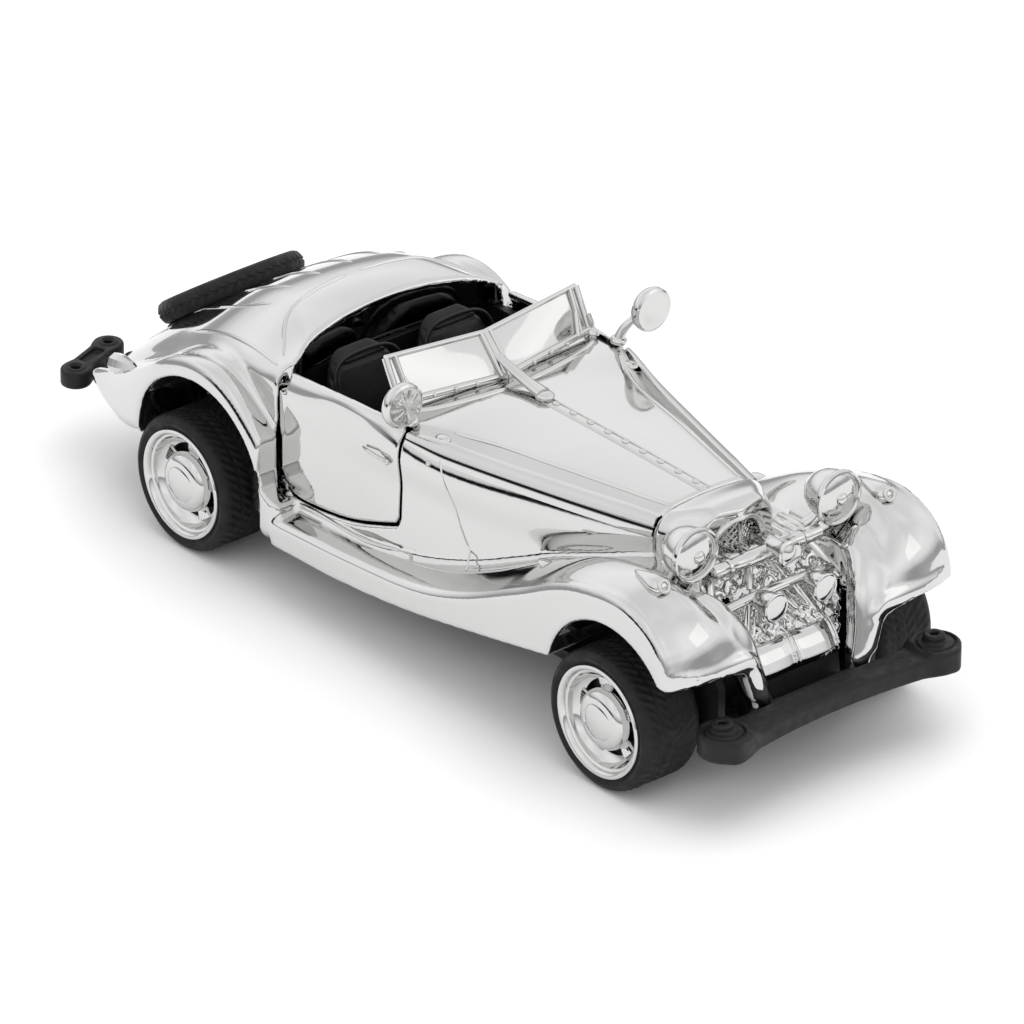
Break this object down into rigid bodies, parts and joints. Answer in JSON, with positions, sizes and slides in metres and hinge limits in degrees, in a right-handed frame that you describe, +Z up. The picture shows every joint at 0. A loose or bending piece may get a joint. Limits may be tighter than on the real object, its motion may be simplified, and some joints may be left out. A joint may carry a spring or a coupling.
{
  "type": "diecast collector car",
  "caption": "Chrome-plated miniature 1930s long-bonnet open roadster with opening rear-hinged doors, rolling wheels, black cabin and bumpers.",
  "frame": {"origin": "centre of the bounding box in plan, at the height where the tyres touch the ground", "axes": "+Z up, the front of the car faces -Y, its right-hand side faces -X"},
  "size_m": [0.0478, 0.1328, 0.0381],
  "materials": {
    "chrome_plate": "bright mirror plating over a zinc casting",
    "black_plastic": "moulded satin black",
    "tyre_rubber": "matt black rubber with a fine tread",
    "steel": "plain drawn wire and zinc-plated screws",
    "motor_plastic": "natural moulded plastic",
    "spring_steel": "blued spring strip"
  },
  "bodies": {
    "body": {"body_shell": "chrome_plate", "radiator_shell": "chrome_plate", "radiator_grille": "chrome_plate", "front_frame_casting": "chrome_plate", "front_apron": "chrome_plate", "lamp_bar": "chrome_plate", "centre_horn": "chrome_plate", "windscreen": "chrome_plate", "interior_tub": "black_plastic", "dashboard": "black_plastic", "steering_wheel": "black_plastic", "base_plate": "black_plastic", "front_bumper": "black_plastic", "headlamp_bucket_left": "chrome_plate", "headlamp_lens_left": "chrome_plate", "fog_lamp_left": "chrome_plate", "signal_lamp_left": "chrome_plate", "spot_mirror_left": "chrome_plate", "door_hinge_pin_left": "steel", "seat_left": "black_plastic", "tail_lamp_left": "chrome_plate", "rear_bumper_left": "black_plastic", "headlamp_bucket_right": "chrome_plate", "headlamp_lens_right": "chrome_plate", "fog_lamp_right": "chrome_plate", "signal_lamp_right": "chrome_plate", "spot_mirror_right": "chrome_plate", "door_hinge_pin_right": "steel", "seat_right": "black_plastic", "tail_lamp_right": "chrome_plate", "rear_bumper_right": "black_plastic", "spare_tyre": "tyre_rubber", "spare_wheel_disc": "chrome_plate", "mainspring": "spring_steel", "motor_case": "motor_plastic", "motor_cover": "motor_plastic", "body_screw_front": "steel", "body_screw_rear": "steel"},
    "door_left": {"door_left": "chrome_plate"},
    "door_right": {"door_right": "chrome_plate"},
    "front_wheelset": {"front_axle": "steel", "tyre_front_left": "tyre_rubber", "wheel_rim_front_left": "chrome_plate", "tyre_front_right": "tyre_rubber", "wheel_rim_front_right": "chrome_plate"},
    "rear_wheelset": {"rear_axle": "steel", "tyre_rear_left": "tyre_rubber", "wheel_rim_rear_left": "chrome_plate", "tyre_rear_right": "tyre_rubber", "wheel_rim_rear_right": "chrome_plate", "axle_gear": "motor_plastic"},
    "spring_barrel": {"spring_gear": "motor_plastic"}
  },
  "joints": [
    {"name": "door_left_hinge", "type": "hinge", "parent": "body", "child": "door_left", "pos_m": [0.0186, 0.0173, 0.02], "axis": [0, 0, 1], "range_deg": [0, 35]},
    {"name": "door_right_hinge", "type": "hinge", "parent": "body", "child": "door_right", "pos_m": [-0.0186, 0.0173, 0.02], "axis": [0, 0, -1], "range_deg": [0, 35]},
    {"name": "front_wheels_spin", "type": "hinge", "parent": "body", "child": "front_wheelset", "pos_m": [0, -0.0472, 0.0091], "axis": [1, 0, 0], "continuous": true},
    {"name": "rear_wheels_spin", "type": "hinge", "parent": "body", "child": "rear_wheelset", "pos_m": [0, 0.0328, 0.0091], "axis": [1, 0, 0], "continuous": true},
    {"name": "spring_barrel_spin", "type": "hinge", "parent": "body", "child": "spring_barrel", "pos_m": [0, 0.02728, 0.01341], "axis": [1, 0, 0], "continuous": true}
  ],
  "couplings": [
    {"joint": "spring_barrel_spin", "follows": "rear_wheels_spin", "ratio": -0.55556}
  ]
}
